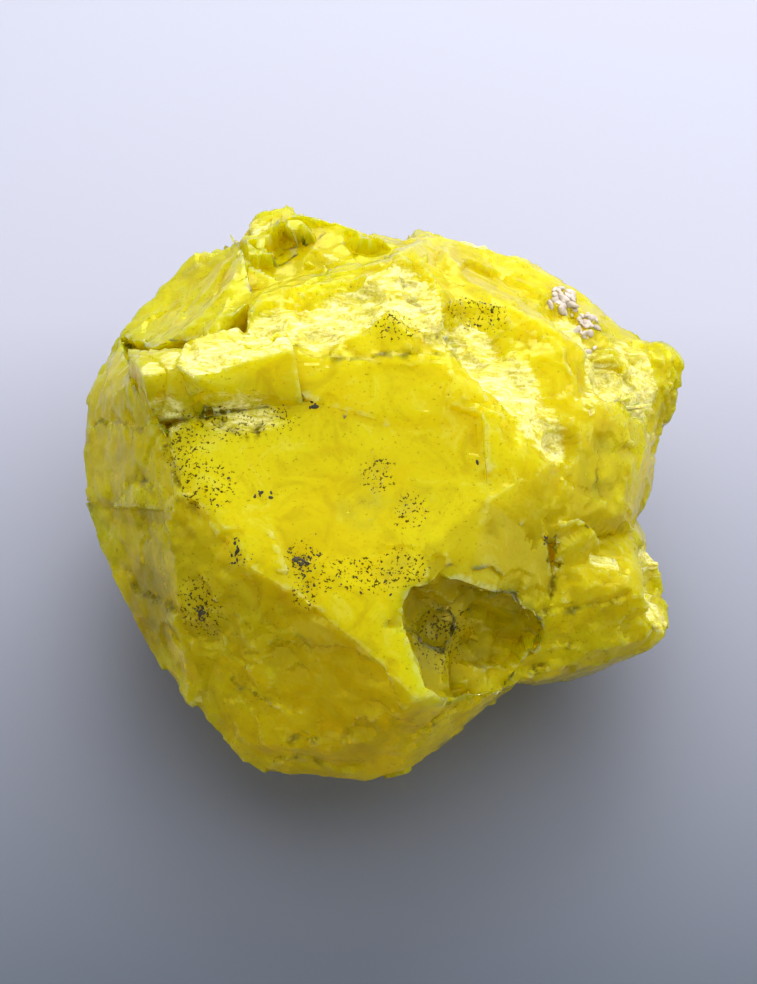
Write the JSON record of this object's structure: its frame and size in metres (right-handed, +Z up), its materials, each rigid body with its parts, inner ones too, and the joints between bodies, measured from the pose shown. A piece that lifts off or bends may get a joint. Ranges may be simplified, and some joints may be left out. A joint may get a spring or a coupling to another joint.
{
  "type": "native sulfur crystal",
  "caption": "Hand-sized lump of native sulfur, crystals grown together and broken along curved faces, lying on its flattest break",
  "frame": {"origin": "middle of the part's box across and front to back, on the surface that it stands on", "axes": "+Z up, +Y to the back, +X to the right seen from the front; the broad face looks up and to the front"},
  "size_m": [0.0804, 0.0772, 0.0544],
  "materials": {
    "sulfur": "translucent, resinous gloss with frosted breaks",
    "bitumen": "dull dark specks and veins",
    "calcite_crust": "matt, sugary",
    "veil": "healed cracks sealed in the stone"
  },
  "bodies": {
    "root": {"sulfur_crystal": "sulfur"}
  },
  "joints": []
}
